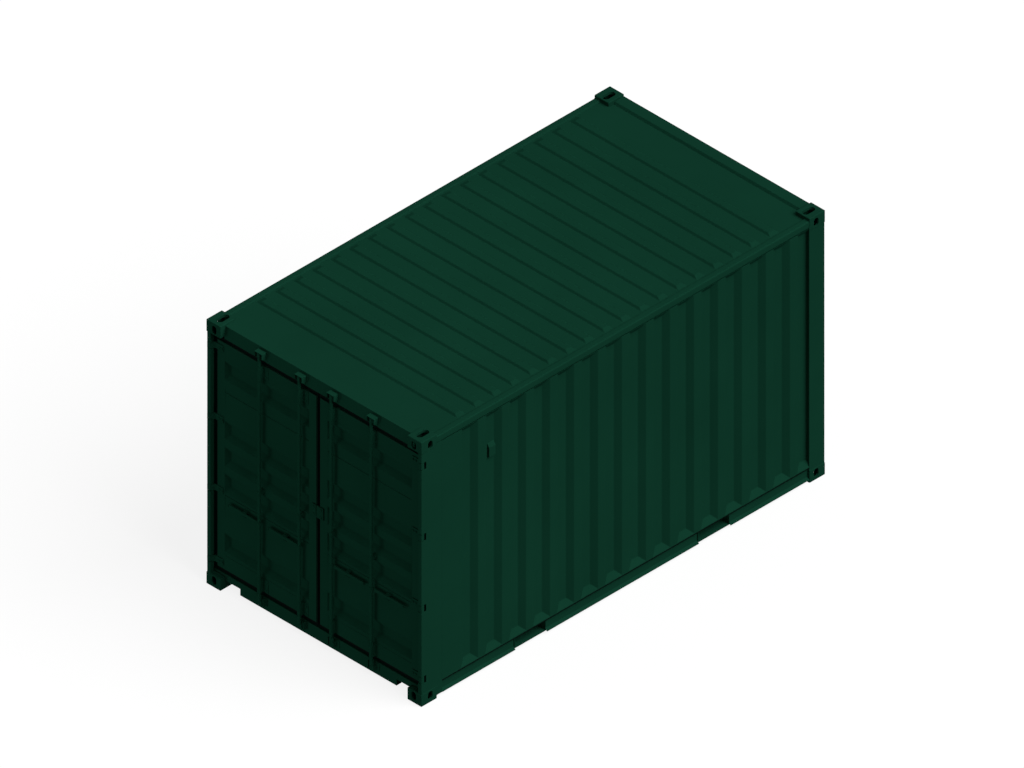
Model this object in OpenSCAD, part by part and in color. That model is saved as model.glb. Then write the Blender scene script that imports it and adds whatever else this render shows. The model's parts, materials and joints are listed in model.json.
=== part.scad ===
// Steel shipping container with corrugated walls and a pair of end doors.
// The length runs along X with the doors at -X, the width along Y, and Z = 0 is the ground.
// Left and right are as seen by someone who faces the doors: left is +Y.

/* [Overall size] */
// Length over the corner castings
length = 4572; // [4000:1:6100]
// Width over the corner castings
width = 2438; // [2300:1:2550]
// Height over the corner castings
height = 2591; // [2400:1:2900]

/* [Corner castings] */
// Casting size along the container
casting_l = 178; // [170:1:190]
// Casting size across the container
casting_w = 162; // [155:1:172]
// Casting height
casting_h = 118; // [110:1:126]
// Wall of a casting behind its side and end faces
casting_wall = 20; // [14:1:26]
// Plate of a casting that the lock slot goes through
casting_plate = 28; // [22:1:34]
// Wall of a casting behind its inner faces
casting_inner = 10; // [8:1:14]
// Rounding of the casting edges
casting_round = 6; // [2:1:10]
// Length of a lock slot
slot_l = 124; // [110:1:126]
// Width of a lock slot
slot_w = 63.5; // [56:0.5:66]
// Distance of a slot centre from the end face
slot_from_end = 101.5; // [96:0.5:104]
// Distance of a slot centre from the side face
slot_from_side = 89; // [82:0.5:94]
// Height of the lashing holes in the side and end faces
hole_h = 79; // [66:1:82]
// Width of the lashing holes
hole_w = 51; // [40:1:54]

/* [Frame] */
// Plate thickness of posts, rails and sills
plate = 6; // [4:0.5:8]
// Set-back of posts, walls and rails from the side planes
side_set = 4; // [2:0.5:8]
// Set-back of the blind end from the end plane
end_set = 2; // [1:0.5:6]
// Width of the post lip beside a door
lip_w = 42; // [38:1:46]
// Depth of the post lip beside a door
lip_d = 40; // [36:1:44]
// Inner radius of the bends of a door post
post_bend = 2; // [1:0.5:4]
// How far a door post's side plate runs past its casting
post_tail = 59; // [30:1:90]
// Width of the jamb behind a door edge
jamb_w = 80; // [60:1:100]
// Depth of the jamb behind a door edge
jamb_d = 68; // [50:1:68]
// Height of the top side rails
top_rail_h = 66; // [50:1:80]
// Width of the top side rails
top_rail_w = 60; // [50:1:70]
// Height of the rail tops below the overall height
rail_drop = 28; // [22:1:34]
// Level of the top of the bottom rails and of the lower wall edges
rail_top = 150; // [146:1:170]
// Set-back of a bottom rail's web behind the wall
web_set = 20; // [14:1:26]
// Height of the lower edge of the bottom rails and of the front sill
rail_bottom = 31; // [26:1:36]
// Height at which a bottom rail starts to flare outwards
flare_top = 54; // [50:1:62]

/* [Header and sill at the doors] */
// Height of the header's top below the overall height
header_drop = 20; // [16:1:26]
// Face height of the header
header_h = 115; // [100:1:118]
// Set-back of the header face at its top
header_set_top = 60; // [56:1:70]
// Set-back of the header face at its bottom
header_set_low = 44; // [42:1:52]
// Height of the sill's lower edge
sill_bottom = 21; // [18:1:28]
// Height of the sill's front face top
sill_top = 144; // [138:1:150]
// Set-back of the sill face
sill_set = 52; // [50:1:60]
// Length of the low notch at each end of the sill
notch_l = 172; // [100:1:220]
// Height of the notches' roof above the ground
notch_top = 83; // [70:1:95]

/* [Corrugated walls] */
// Sheet thickness of walls, doors and roof
skin = 2; // [1.5:0.1:3]
// Depth of the wall corrugations
wave_d = 36; // [24:1:40]
// Pitch of the wall corrugations
wave_pitch = 271.6; // [240:0.2:300]
// Flat floor of one corrugation
wave_floor = 77; // [72:1:90]
// Length of a corrugation's slope along the wall
wave_slope = 58; // [46:1:62]
// Flat wall between the door post and the first corrugation
wave_lead = 216; // [150:1:260]
// Height of the plain strip below the corrugations
wave_foot = 11; // [6:1:30]

/* [Roof] */
// Height of the roof sheet's top below the overall height
roof_drop = 39; // [36:1:44]
// Height of the roof ribs
rib_h = 16; // [10:1:24]
// Pitch of the roof ribs
rib_pitch = 208.5; // [190:0.5:240]
// Flat top of a roof rib
rib_top = 60; // [40:1:110]
// Length of a rib's flanks along the roof
rib_flank = 18; // [8:0.5:24]
// Length of a rib's sloped ends
rib_end = 43; // [20:1:60]
// Plain strip between a rail and the rib ends
rib_margin = 18; // [10:1:40]
// Plain strip behind the door header
rib_lead = 310; // [200:1:340]
// Least flat length between the last roof rib and the end wall's plane
rib_tail = 180; // [60:1:260]
// Leg of the small sloped gussets behind the top castings
gusset = 56; // [40:1:70]
// Width of the front header's top
front_header_w = 104; // [80:1:130]
// Width of the front sill's flanges
front_flange = 42; // [36:1:60]

/* [Base] */
// Thickness of the plywood floor
floor_t = 28; // [24:1:30]
// Number of plywood sheets along the container
floor_sheets = 4; // [3:1:5]
// Joint between plywood sheets
floor_joint = 3; // [2:0.5:5]
// Height of the cross members
member_h = 122; // [100:1:122]
// Flange width of the cross members
member_w = 45; // [38:1:55]
// Plate of the cross members
member_t = 4; // [3:0.5:5]
// Largest spacing of the cross members
member_pitch = 300; // [260:1:340]
// Clear width of the fork pockets
pocket_w = 345; // [330:1:380]
// Centre distance of the fork pockets
pocket_pitch = 2078; // [1900:1:2100]
// Level of the bottom of the fork pockets' straps
pocket_bottom = 36; // [32:1:40]
// Width of the straps that close a pocket below
strap_w = 200; // [120:1:260]
// Set-back of the pocket mouths from the side planes
pocket_set = 14; // [8:1:20]

/* [Doors] */
// Distance of the hinge pins from the side and end planes
pin_set = 24; // [23:0.5:25]
// Hinge pin radius
pin_r = 8; // [6:0.5:9]
// Gap between the two door leaves
door_gap = 32; // [28:1:40]
// Distance of a leaf's hinge edge from the side plane
leaf_from_side = 73; // [71:1:80]
// Level of the lower edge of the doors
door_bottom = 185; // [182:1:200]
// Height of the doors' upper edge below the overall height
door_drop = 178; // [172:1:190]
// Set-back of the door faces
door_set = 51; // [50:1:54]
// Thickness of a door leaf
leaf_t = 50; // [44:1:52]
// Width of the door stiles
stile_w = 92; // [80:1:100]
// Height of the door rails
door_rail_h = 140; // [120:1:150]
// Wall of the door frame tubes
tube_wall = 4; // [3:0.5:5]
// Set-back of the door sheet behind the door frame face
panel_set = 3; // [1:0.5:6]
// Depth of the pressed door troughs
trough_d = 36; // [24:1:38]
// Height of a door trough at its mouth
trough_h = 177; // [160:1:180]
// Length of a door trough's slopes
trough_slope = 48; // [30:1:52]
// Length of the slopes at the two ends of a door trough
trough_ramp = 32; // [20:1:60]
// Flat edge of the door sheet beside a trough's ends
trough_margin = 3; // [2:0.5:12]
// Distance of the inner troughs from the middle one
trough_inner = 258; // [250:1:280]
// Distance of the outer troughs' middles from the ends of the door sheet
trough_end = 132; // [110:1:200]
// Depth of the pressed seams between the sheets of a door
seam_d = 5; // [3:0.5:8]
// Width of a sheet seam at its mouth
seam_w = 9; // [7:0.5:14]
// Distance of the lower seam below the lower inner trough
seam_low = 36; // [20:1:42]
// Distance of the upper seam below the uppermost trough
seam_high = 127; // [60:1:200]
// Height of the door seal above and below a leaf
seal_h = 27; // [18:1:32]
// Width of the door seal at the hinge edge
seal_side = 17; // [10:1:20]
// Width of the door seal at the middle of the doorway
seal_mid = 10; // [6:1:10]
// Half width of a hinge knuckle's square corner
knuckle = 20; // [17:0.5:20]
// Depth of a hinge knuckle
knuckle_d = 36; // [32:1:38]
// Rounding of a hinge knuckle's corners
knuckle_round = 7; // [5:0.5:10]
// Distance from a leaf's hinge edge to the bend of a hinge blade
hinge_root = 13; // [8:1:18]
// Height of a hinge blade
blade_h = 58; // [50:1:60]
// Thickness of a hinge blade
blade_t = 8; // [6:0.5:8]
// Distance from the side plane to a hinge blade's tip
blade_tip = 150; // [120:1:162]
// Height of a hinge window in the post
window_h = 70; // [68:1:80]
// Depth of a hinge window along the side
window_l = 58; // [52:1:66]
// Distance of the outer hinges from the leaf's ends
hinge_end = 68; // [60:1:90]

/* [Locking bars] */
// Bar radius
bar_r = 14; // [12:0.5:15]
// Bar tube wall
bar_wall = 3; // [2:0.5:4]
// Set-back of the bar axes
bar_set = 17; // [17:0.5:20]
// Distance of the inner bars from the middle of the doorway
bar_inner = 181; // [160:1:220]
// Distance of the outer bars from the middle of the doorway
bar_outer = 634; // [600:1:660]
// Level of the bars' lower ends
bar_bottom = 118; // [116:1:126]
// Height of the cams at the bar ends
cam_h = 44; // [34:1:56]
// Radius of the cam tooth
cam_reach = 22; // [19:0.5:23]
// Width of a cam tooth
cam_w = 14; // [10:1:16]
// Width of the cam keepers
keeper_w = 120; // [100:1:130]
// Height of the sill keepers
keeper_h = 72; // [60:1:80]
// Distance of the header keepers above the header's lower edge
keeper_lift = 14; // [8:1:20]
// Height of the header keepers' upper ends below the overall height
keeper_drop = 43; // [40:1:50]
// Height of the cheeks of a header keeper at their front
hood_h = 50; // [36:1:56]
// Set-back of a header keeper's hood
hood_set = 3; // [2:0.5:8]
// Width of the stops below the bars
stop_w = 48; // [40:1:56]
// Distance of the handles below the middle of the doors
handle_drop = 439; // [425:1:480]
// Length of a handle from its bar
handle_l = 370; // [320:1:385]
// Height of the handle bars
handle_h = 28; // [22:1:32]
// Thickness of the handle bars
handle_t = 12; // [8:1:14]
// Eye at the tip of a handle
handle_eye = 12; // [8:1:14]
// Distance of the handle catches from the bars
catch_at = 174; // [120:1:240]
// Width of the handle catches
catch_w = 40; // [30:1:50]
// Width of a handle catch's foot plate
catch_foot = 60; // [52:1:80]
// Height of the bearing in the middle of each bar
mid_bearing_h = 40; // [30:1:60]

/* [Small fittings] */
// Height of a ventilator hood
vent_h = 130; // [100:1:150]
// Width of a ventilator hood
vent_w = 72; // [50:1:72]
// Depth of a ventilator hood
vent_d = 23; // [16:1:30]
// Height of a ventilator hood's front face
vent_face = 94; // [60:1:98]
// Distance of the ventilator hoods below the upper wall edge
vent_drop = 319; // [240:1:600]
// Height of the cover plate over the gap between the doors
cover_h = 115; // [90:1:130]
// Distance of the cover plate's middle below the middle of the doors
cover_drop = 11; // [0:1:40]
// Half width of the cover plate
cover_half = 66; // [50:1:90]
// Thickness of the cover plate
cover_t = 12; // [8:1:16]

/* [Hidden] */
$fn = 48;
// Running clearance round pins and bars, clearance of moving pieces, and overshoot of cuts
running = 0.3;
clear = 5;
cut = 1;
// Joint between plates that are welded to each other
weld = 0.2;
half_l = length / 2;
half_w = width / 2;
door_x = -half_l;
blind_x = half_l;
rail_z = height - rail_drop;
wall_top = rail_z - top_rail_h;
wall_x0 = door_x + casting_l + post_tail;
wall_x1 = blind_x - casting_l;
wave_w = wave_floor + 2 * wave_slope;
wave_h = wall_top - rail_top - wave_foot;
wave_count = ceil((wall_x1 - wall_x0 - wave_lead) / wave_pitch);
wave_starts = [for (i = [0:wave_count - 1]) wave_lead + i * wave_pitch];
front_span = width - 2 * casting_w;
front_count = floor((front_span - wave_w) / wave_pitch);
front_lead = (front_span - wave_w - (front_count - 1) * wave_pitch) / 2;
front_starts = [for (i = [0:front_count - 1]) front_lead + i * wave_pitch];
roof_z = height - roof_drop;
header_top = height - header_drop;
header_low = header_top - header_h;
header_lean = (header_set_top - header_set_low) / header_h;
front_header_x = blind_x - end_set - front_header_w;
rib_w = rib_top + 2 * rib_flank;
roof_y = half_w - side_set - top_rail_w;
rib_l = 2 * (roof_y - rib_margin);
rib_count = floor((wall_x1 - door_x - casting_l - rib_lead - rib_w - rib_tail) / rib_pitch) + 1;
post_top = height - casting_h;
seat_z = rail_top - plate;
seal_front = 9;
seal_proud = 2;
jamb_set = door_set + leaf_t + seal_proud + clear;
threshold_gap = 2;
threshold_set = jamb_set + threshold_gap;
web_y = half_w - side_set - web_set;
floor_gap = 6;
seat_gap = 2;
floor_y = half_w - side_set - wave_d - skin - floor_gap;
vent_z = wall_top - vent_drop - vent_h;
pocket_xs = [-pocket_pitch / 2, pocket_pitch / 2];
pocket_clear = pocket_w / 2 + plate + clear;
member_x0 = door_x + casting_l + member_w;
member_x1 = blind_x - casting_l - member_w;
member_spans = ceil((member_x1 - member_x0) / member_pitch);
member_step = (member_x1 - member_x0) / member_spans;
member_xs = [for (i = [0:member_spans]) member_x0 + i * member_step];
door_top = height - door_drop;
door_mid = (door_bottom + door_top) / 2;
sheet_z0 = door_bottom + door_rail_h;
sheet_z1 = door_top - door_rail_h;
trough_mids = [
    sheet_z0 + trough_end, door_mid - trough_inner, door_mid, door_mid + trough_inner, sheet_z1 - trough_end
];
seam_mids = [trough_mids[1] - trough_h / 2 - seam_low, trough_mids[4] - trough_h / 2 - seam_high];
mid_bearing_z = door_mid - trough_inner / 2;
handle_z = door_mid - handle_drop;
cover_z = door_mid - cover_drop;
cover_split = clear + 1;
leaf_y0 = door_gap / 2;
leaf_y1 = half_w - leaf_from_side;
panel_x = door_x + door_set + panel_set;
hinge_span = door_top - door_bottom - 2 * hinge_end;
hinge_zs = [for (i = [0:3]) door_bottom + hinge_end + i * hinge_span / 3];
lug_h = 14;
keeper_plate = 4;
keeper_top = height - keeper_drop;
bar_top = keeper_top - keeper_plate - clear;
bar_x = door_x + bar_set;
bar_bore = bar_r + running;
bearing_r = bar_r + 3;
cam_wall = 2;
collar_lap = 8;
stop_gap = clear + 2;
bearing_gap = 12;
bearing_h = door_rail_h - 2 * bearing_gap;
bracket_plate = 5;
bracket_reach = 70;
bracket_edge = 8;
cheek_from = cam_reach + 14;
cheek_t = 8;
catch_t = 7;
paint = [0.11, 0.32, 0.24];
dark_paint = [0.08, 0.26, 0.19];
rubber = [0.05, 0.05, 0.05];
wood = [0.55, 0.40, 0.25];

// Draws its children as modelled on the left, or mirrored to the right
module on_side(side) {
    mirror([0, side < 0 ? 1 : 0, 0])
        children();
}

// Extrudes an outline drawn in X and Z along Y, between two Y values
module along_y(y0, y1) {
    translate([0, y1, 0])
        rotate([90, 0, 0])
            linear_extrude(y1 - y0)
                children();
}

// Extrudes an outline drawn in Y and Z along X, between two X values
module along_x(x0, x1) {
    translate([x0, 0, 0])
        rotate([90, 0, 90])
            linear_extrude(x1 - x0)
                children();
}

// Box between two corners
module block(low, high) {
    translate(low)
        cube(high - low);
}

// Rectangle with round corners, its lower left corner at the origin
module round_rect(size, r) {
    translate([r, 0])
        square([size[0] - 2 * r, size[1]]);
    translate([0, r])
        square([size[0], size[1] - 2 * r]);
    for (x = [r, size[0] - r], y = [r, size[1] - r])
        translate([x, y])
            circle(r);
}

// Oblong hole with half-round ends, centred, longer along its first axis
module oblong(long, wide) {
    square([long - wide, wide], center = true);
    for (x = [-1, 1])
        translate([x * (long - wide) / 2, 0])
            circle(d = wide);
}

// Corner casting with its outer corner at the origin, its slot in the lower face
module casting() {
    difference() {
        intersection() {
            linear_extrude(casting_h)
                round_rect([casting_l, casting_w], casting_round);
            along_y(0, casting_w)
                round_rect([casting_l, casting_h], casting_round);
        }
        block([casting_wall, casting_wall, casting_plate],
            [casting_l - casting_inner, casting_w - casting_inner, casting_h - casting_inner]);
        translate([slot_from_end, slot_from_side, -cut])
            linear_extrude(casting_plate + 2 * cut)
                oblong(slot_l, slot_w);
        hole_z = casting_plate + (casting_h - casting_inner - casting_plate) / 2;
        along_x(-cut, casting_wall + cut)
            translate([slot_from_side, hole_z])
                rotate(90)
                    oblong(hole_h, hole_w);
        along_y(-cut, casting_wall + cut)
            translate([slot_from_end, hole_z])
                rotate(90)
                    oblong(hole_h, hole_w);
    }
}

module castings_at_corners() {
    for (end = [0, 1], side = [0, 1])
        mirror([end, 0, 0])
            mirror([0, side, 0])
                translate([-half_l, -half_w, 0])
                    casting();
}

module bottom_corner_castings() {
    color(dark_paint)
        castings_at_corners();
}

module top_corner_castings() {
    color(dark_paint)
        translate([0, 0, height])
            mirror([0, 0, 1])
                castings_at_corners();
}

// Outline of the left door post in plan: side plate, face and lip, bent from one plate
module post_outline() {
    y1 = half_w - side_set;
    x0 = door_x + side_set;
    bend = post_bend + plate;
    difference() {
        union() {
            translate([x0, y1 - lip_w])
                round_rect([lip_d, lip_w], bend);
            translate([x0 + bend, y1 - plate])
                square([wall_x0 - x0 - bend, plate]);
            translate([x0 + bend, y1 - lip_w])
                square([lip_d - bend, plate]);
        }
        translate([x0 + plate, y1 - lip_w + plate])
            round_rect([lip_d, lip_w - 2 * plate], post_bend);
    }
}

// Places its children at each hinge on the left door's pin axis
module at_hinges() {
    for (z = hinge_zs)
        translate([door_x + pin_set, half_w - pin_set, z])
            children();
}

module door_post() {
    y1 = half_w - side_set;
    lug_x0 = door_x + side_set + plate;
    difference() {
        union() {
            translate([0, 0, casting_h])
                linear_extrude(post_top - casting_h)
                    post_outline();
            block([door_x + casting_l, y1 - plate, rail_bottom], [wall_x0, y1, wall_top]);
            for (z = hinge_zs, up = [-1, 1])
                translate([0, 0, z + up * (window_h + lug_h) / 2])
                    block([lug_x0, y1 - lip_w + plate, -lug_h / 2],
                        [lug_x0 + lip_d - plate, y1 - plate, lug_h / 2]);
        }
        for (z = hinge_zs)
            block([door_x, y1 - lip_w - cut, z - window_h / 2],
                [door_x + window_l, half_w, z + window_h / 2]);
        at_hinges()
            cylinder(h = window_h + 2 * lug_h + 2 * cut, r = pin_r + running / 2, center = true);
    }
}

module door_jamb() {
    x0 = door_x + jamb_set;
    y1 = half_w - side_set - plate;
    translate([0, 0, casting_h])
        linear_extrude(post_top - casting_h)
            difference() {
                translate([x0, y1 - jamb_w])
                    square([jamb_d, jamb_w]);
                translate([x0 + plate, y1 - jamb_w + plate])
                    square([jamb_d - 2 * plate, jamb_w - 2 * plate]);
            }
}

module left_door_post() { color(paint) door_post(); }
module right_door_post() { color(paint) on_side(-1) door_post(); }
module left_door_jamb() { color(paint) door_jamb(); }
module right_door_jamb() { color(paint) on_side(-1) door_jamb(); }

module hinge_pins() {
    color("dimgray")
        for (side = [1, -1])
            on_side(side)
                at_hinges()
                    cylinder(h = window_h + 2 * lug_h, r = pin_r, center = true);
}

// Hollow post of the blind end, flush with the inner faces of its castings
module front_post() {
    size = [casting_l - end_set, casting_w - side_set];
    translate([wall_x1, half_w - casting_w, casting_h])
        linear_extrude(post_top - casting_h)
            difference() {
                round_rect(size, casting_round);
                translate([plate, plate])
                    square(size - [2 * plate, 2 * plate]);
            }
}

module left_front_post() { color(paint) front_post(); }
module right_front_post() { color(paint) on_side(-1) front_post(); }

// Set-back of the leaning header face at a level
function header_set(z) = header_set_low + (z - header_low) * header_lean;

// Box header over the doorway with a leaning face and a stop lip for the doors
module door_header() {
    stop_x = door_x + threshold_set;
    color(paint)
        along_y(-half_w + casting_w, half_w - casting_w)
            difference() {
                union() {
                    polygon([
                        [door_x + header_set_low, header_low],
                        [door_x + casting_l, header_low],
                        [door_x + casting_l, header_top],
                        [door_x + header_set_top, header_top]
                    ]);
                    translate([stop_x, header_low - seal_h])
                        square([plate, seal_h + plate]);
                }
                polygon([
                    [door_x + header_set_low + 2 * plate, header_low + plate],
                    [door_x + casting_l - plate, header_low + plate],
                    [door_x + casting_l - plate, header_top - plate],
                    [door_x + header_set_top + plate, header_top - plate]
                ]);
            }
}

// Bent sill under the doorway: face, ledge, threshold and lower lip, and its ends over the castings
module door_sill() {
    y1 = half_w - casting_w;
    end_y = half_w - side_set - plate - weld;
    jamb_y = end_y - jamb_w;
    end_z = casting_h + weld;
    face_x = door_x + sill_set;
    step_x = door_x + threshold_set;
    back_x = door_x + casting_l;
    tread_z = seat_z + floor_t;
    color(paint)
        difference() {
            along_y(-y1, y1) {
                translate([face_x, sill_bottom])
                    square([plate, sill_top - sill_bottom]);
                translate([face_x, sill_bottom])
                    square([step_x - face_x, plate]);
                translate([face_x, sill_top - plate])
                    square([step_x - face_x, plate]);
                translate([step_x, sill_top - plate])
                    square([plate, tread_z - sill_top + plate]);
                translate([step_x, tread_z - plate])
                    square([back_x - step_x, plate]);
            }
            for (side = [-1, 1])
                on_side(side)
                    block([door_x, y1 - notch_l, 0], [back_x, half_w, notch_top]);
        }
    color(paint)
        for (side = [-1, 1])
            on_side(side) {
                block([face_x, y1 + weld, end_z], [face_x + plate, end_y, sill_top]);
                block([face_x, y1 + weld, sill_top - plate], [door_x + jamb_set - weld, end_y, sill_top]);
                block([face_x, y1 + weld, sill_top - plate], [step_x + plate, jamb_y, sill_top]);
                block([step_x, y1 + weld, sill_top - plate], [step_x + plate, jamb_y, tread_z]);
                block([step_x, y1 + weld, tread_z - plate], [back_x, jamb_y, tread_z]);
            }
}

module front_header() {
    x1 = blind_x - end_set;
    fall = header_top - roof_z;
    color(paint)
        along_y(-half_w + casting_w, half_w - casting_w)
            difference() {
                polygon([
                    [front_header_x, wall_top],
                    [x1, wall_top],
                    [x1, header_top],
                    [front_header_x, header_top],
                    [front_header_x - fall, roof_z],
                    [front_header_x, roof_z]
                ]);
                translate([front_header_x + plate, wall_top + plate])
                    square([front_header_w - 2 * plate, header_top - wall_top - 2 * plate]);
            }
}

// Channel under the blind end wall
module front_sill() {
    x1 = blind_x - end_set;
    color(paint)
        along_y(-half_w + casting_w, half_w - casting_w) {
            translate([x1 - plate, rail_bottom])
                square([plate, rail_top - rail_bottom]);
            for (z = [rail_bottom, seat_z])
                translate([x1 - front_flange, z])
                    square([front_flange, plate]);
        }
}

module top_rail() {
    y1 = half_w - side_set;
    color(paint)
        along_x(door_x + casting_l, wall_x1)
            difference() {
                translate([y1 - top_rail_w, wall_top])
                    square([top_rail_w, top_rail_h]);
                translate([y1 - top_rail_w + plate, wall_top + plate])
                    square([top_rail_w - 2 * plate, top_rail_h - 2 * plate]);
            }
}

module left_top_rail() { top_rail(); }
module right_top_rail() { on_side(-1) top_rail(); }

// Bottom rail: a seat flange, and below it between the fork pockets a recessed web
// with a foot that flares outwards
module bottom_rail() {
    y1 = half_w - side_set;
    flare = flare_top - rail_bottom;
    mouth = pocket_w / 2 + plate;
    edges = [wall_x0, for (x = pocket_xs) each [x - mouth, x + mouth], wall_x1];
    color(paint) {
        along_x(wall_x0, wall_x1)
            translate([floor_y + seat_gap, seat_z])
                square([y1 - floor_y - seat_gap, plate]);
        for (i = [0:2:len(edges) - 1])
            along_x(edges[i], edges[i + 1]) {
                translate([web_y - plate, flare_top])
                    square([plate, seat_z - weld - flare_top]);
                polygon([
                    [web_y, flare_top],
                    [web_y + flare, rail_bottom],
                    [web_y + flare - plate, rail_bottom],
                    [web_y - plate, flare_top]
                ]);
            }
    }
}

module left_bottom_rail() { bottom_rail(); }
module right_bottom_rail() { on_side(-1) bottom_rail(); }

// Outline of a pressed tray: straight from y0 to y1, then sloped in over the depth
function tray_outline(w, slope, depth, y0, y1) = [
    [0, y0], [w, y0], [w, y1], [w - slope, y1 + depth], [slope, y1 + depth], [0, y1]
];

// Tray with four sloped sides: w along X, h along Z, pressed towards +Y
module tray(w, h, side_slope, end_slope, depth, y0, y1) {
    intersection() {
        linear_extrude(h)
            polygon(tray_outline(w, side_slope, depth, y0, y1));
        along_x(0, w)
            polygon([for (p = tray_outline(h, end_slope, depth, y0, y1)) [p[1], p[0]]]);
    }
}

// Sheet in X and Z with trays pressed towards +Y, cut off square at its edges. Each tray is a list:
// its place along X and Z, width, height, side slope, end slope and depth
module pressed_sheet(sheet_w, sheet_h, trays) {
    deepest = max([for (t = trays) t[6]]);
    intersection() {
        difference() {
            union() {
                cube([sheet_w, skin, sheet_h]);
                for (t = trays)
                    translate([t[0], 0, t[1]])
                        tray(t[2], t[3], t[4], t[5], t[6], 0, skin);
            }
            for (t = trays)
                translate([t[0], 0, t[1]])
                    tray(t[2], t[3], t[4], t[5], t[6], -cut, 0);
        }
        cube([sheet_w, deepest + 2 * skin, sheet_h]);
    }
}

// Wall corrugations that start at the given places
function waves(starts) = [
    for (s = starts) [s, wave_foot, wave_w, wave_h, wave_slope, wave_slope, wave_d]
];

module right_side_wall() {
    color(paint)
        translate([wall_x0, -half_w + side_set, rail_top])
            pressed_sheet(wall_x1 - wall_x0, wall_top - rail_top, waves(wave_starts));
}

module left_side_wall() { on_side(-1) right_side_wall(); }

module front_wall() {
    color(paint)
        translate([blind_x - side_set, -front_span / 2, rail_top])
            rotate(90)
                pressed_sheet(front_span, wall_top - rail_top, waves(front_starts));
}

// Roof sheet with raised ribs across it, notched round the castings of the blind end
module roof_panel() {
    ribs = [
        for (i = [0:rib_count - 1])
            [rib_lead + i * rib_pitch, rib_margin, rib_w, rib_l, rib_flank, rib_end, rib_h]
    ];
    color(paint) {
        translate([door_x + casting_l, roof_y, roof_z - skin])
            rotate([90, 0, 0])
                pressed_sheet(wall_x1 - door_x - casting_l, 2 * roof_y, ribs);
        block([wall_x1, -half_w + casting_w, roof_z - skin],
            [front_header_x, half_w - casting_w, roof_z]);
    }
}

// Sloped corner pieces between the roof sheet and the castings of the door end
module roof_gussets() {
    rise = header_top - roof_z;
    color(paint)
        for (side = [-1, 1])
            on_side(side)
                intersection() {
                    along_y(roof_y - gusset, roof_y)
                        polygon([
                            [door_x + casting_l, roof_z],
                            [door_x + casting_l + gusset, roof_z],
                            [door_x + casting_l, roof_z + rise]
                        ]);
                    translate([0, 0, roof_z])
                        linear_extrude(rise)
                            polygon([
                                [door_x + casting_l, roof_y - gusset],
                                [door_x + casting_l, roof_y],
                                [door_x + casting_l + gusset, roof_y]
                            ]);
                }
}

// Channel across the base, its web at X = 0
module cross_member() {
    y1 = web_y - plate;
    along_y(-y1, y1) {
        translate([0, seat_z - member_h])
            square([member_t, member_h]);
        for (z = [seat_z - member_h, seat_z - member_t])
            translate([0, z])
                square([member_w, member_t]);
    }
}

module cross_members() {
    color(dark_paint)
        for (x = member_xs)
            if (min([for (p = pocket_xs) abs(x + member_w / 2 - p)]) > pocket_clear + member_w / 2)
                translate([x, 0, 0])
                    cross_member();
}

// Fork tunnel across the base: two sides, a roof and a strap below each mouth, welded together
module fork_pocket() {
    y1 = half_w - pocket_set;
    outer = pocket_w / 2 + plate;
    strap_half = pocket_w / 2 - weld;
    block([-outer, -y1, seat_z - plate], [outer, y1, seat_z]);
    for (x = [-outer, pocket_w / 2])
        block([x, -y1, pocket_bottom], [x + plate, y1, seat_z - plate - weld]);
    for (side = [-1, 1])
        on_side(side)
            block([-strap_half, y1 - strap_w, pocket_bottom], [strap_half, y1, pocket_bottom + plate]);
}

module fork_pockets() {
    color(dark_paint)
        for (x = pocket_xs)
            translate([x, 0, 0])
                fork_pocket();
}

// Plywood sheets on the cross members, the last one reaching between the front posts
module floor_boards() {
    x0 = door_x + casting_l + floor_joint;
    x1 = wall_x1 - floor_joint;
    step = (x1 - x0 + floor_joint) / floor_sheets;
    tongue_x = blind_x - side_set - wave_d - skin - floor_joint;
    tongue_y = half_w - casting_w - floor_joint;
    color(wood)
        for (i = [0:floor_sheets - 1]) {
            sheet_x = x0 + i * step;
            block([sheet_x, -floor_y, seat_z], [sheet_x + step - floor_joint, floor_y, seat_z + floor_t]);
            if (i == floor_sheets - 1)
                block([x1 - cut, -tongue_y, seat_z], [tongue_x, tongue_y, seat_z + floor_t]);
        }
}

// Hood with an open lower side, its back on the floor of a wall corrugation
module ventilator() {
    back = half_w - side_set - wave_d;
    along_x(-vent_w / 2, vent_w / 2)
        difference() {
            polygon([
                [back, vent_z],
                [back + vent_d, vent_z],
                [back + vent_d, vent_z + vent_face],
                [back, vent_z + vent_h]
            ]);
            polygon([
                [back - cut, vent_z - cut],
                [back + vent_d - skin, vent_z - cut],
                [back + vent_d - skin, vent_z + vent_face - skin],
                [back - cut, vent_z + vent_h - 2 * skin]
            ]);
        }
    for (x = [-vent_w / 2, vent_w / 2 - skin])
        along_x(x, x + skin)
            polygon([
                [back, vent_z],
                [back + vent_d, vent_z],
                [back + vent_d, vent_z + vent_face],
                [back, vent_z + vent_h]
            ]);
}

module ventilators() {
    color(dark_paint)
        for (side = [-1, 1])
            on_side(side)
                translate([wall_x0 + wave_starts[1] + wave_w / 2, 0, 0])
                    ventilator();
}

// Hollow rectangular frame of a leaf: two stiles and two rails between them
module door_frame() {
    x0 = door_x + door_set;
    x1 = x0 + leaf_t;
    for (y = [leaf_y0, leaf_y1 - stile_w])
        difference() {
            block([x0, y, door_bottom], [x1, y + stile_w, door_top]);
            block([x0 + tube_wall, y + tube_wall, door_bottom - cut],
                [x1 - tube_wall, y + stile_w - tube_wall, door_top + cut]);
        }
    for (z = [door_bottom, door_top - door_rail_h])
        difference() {
            block([x0, leaf_y0 + stile_w, z], [x1, leaf_y1 - stile_w, z + door_rail_h]);
            block([x0 + tube_wall, leaf_y0 + stile_w - cut, z + tube_wall],
                [x1 - tube_wall, leaf_y1 - stile_w + cut, z + door_rail_h - tube_wall]);
        }
}

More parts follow.
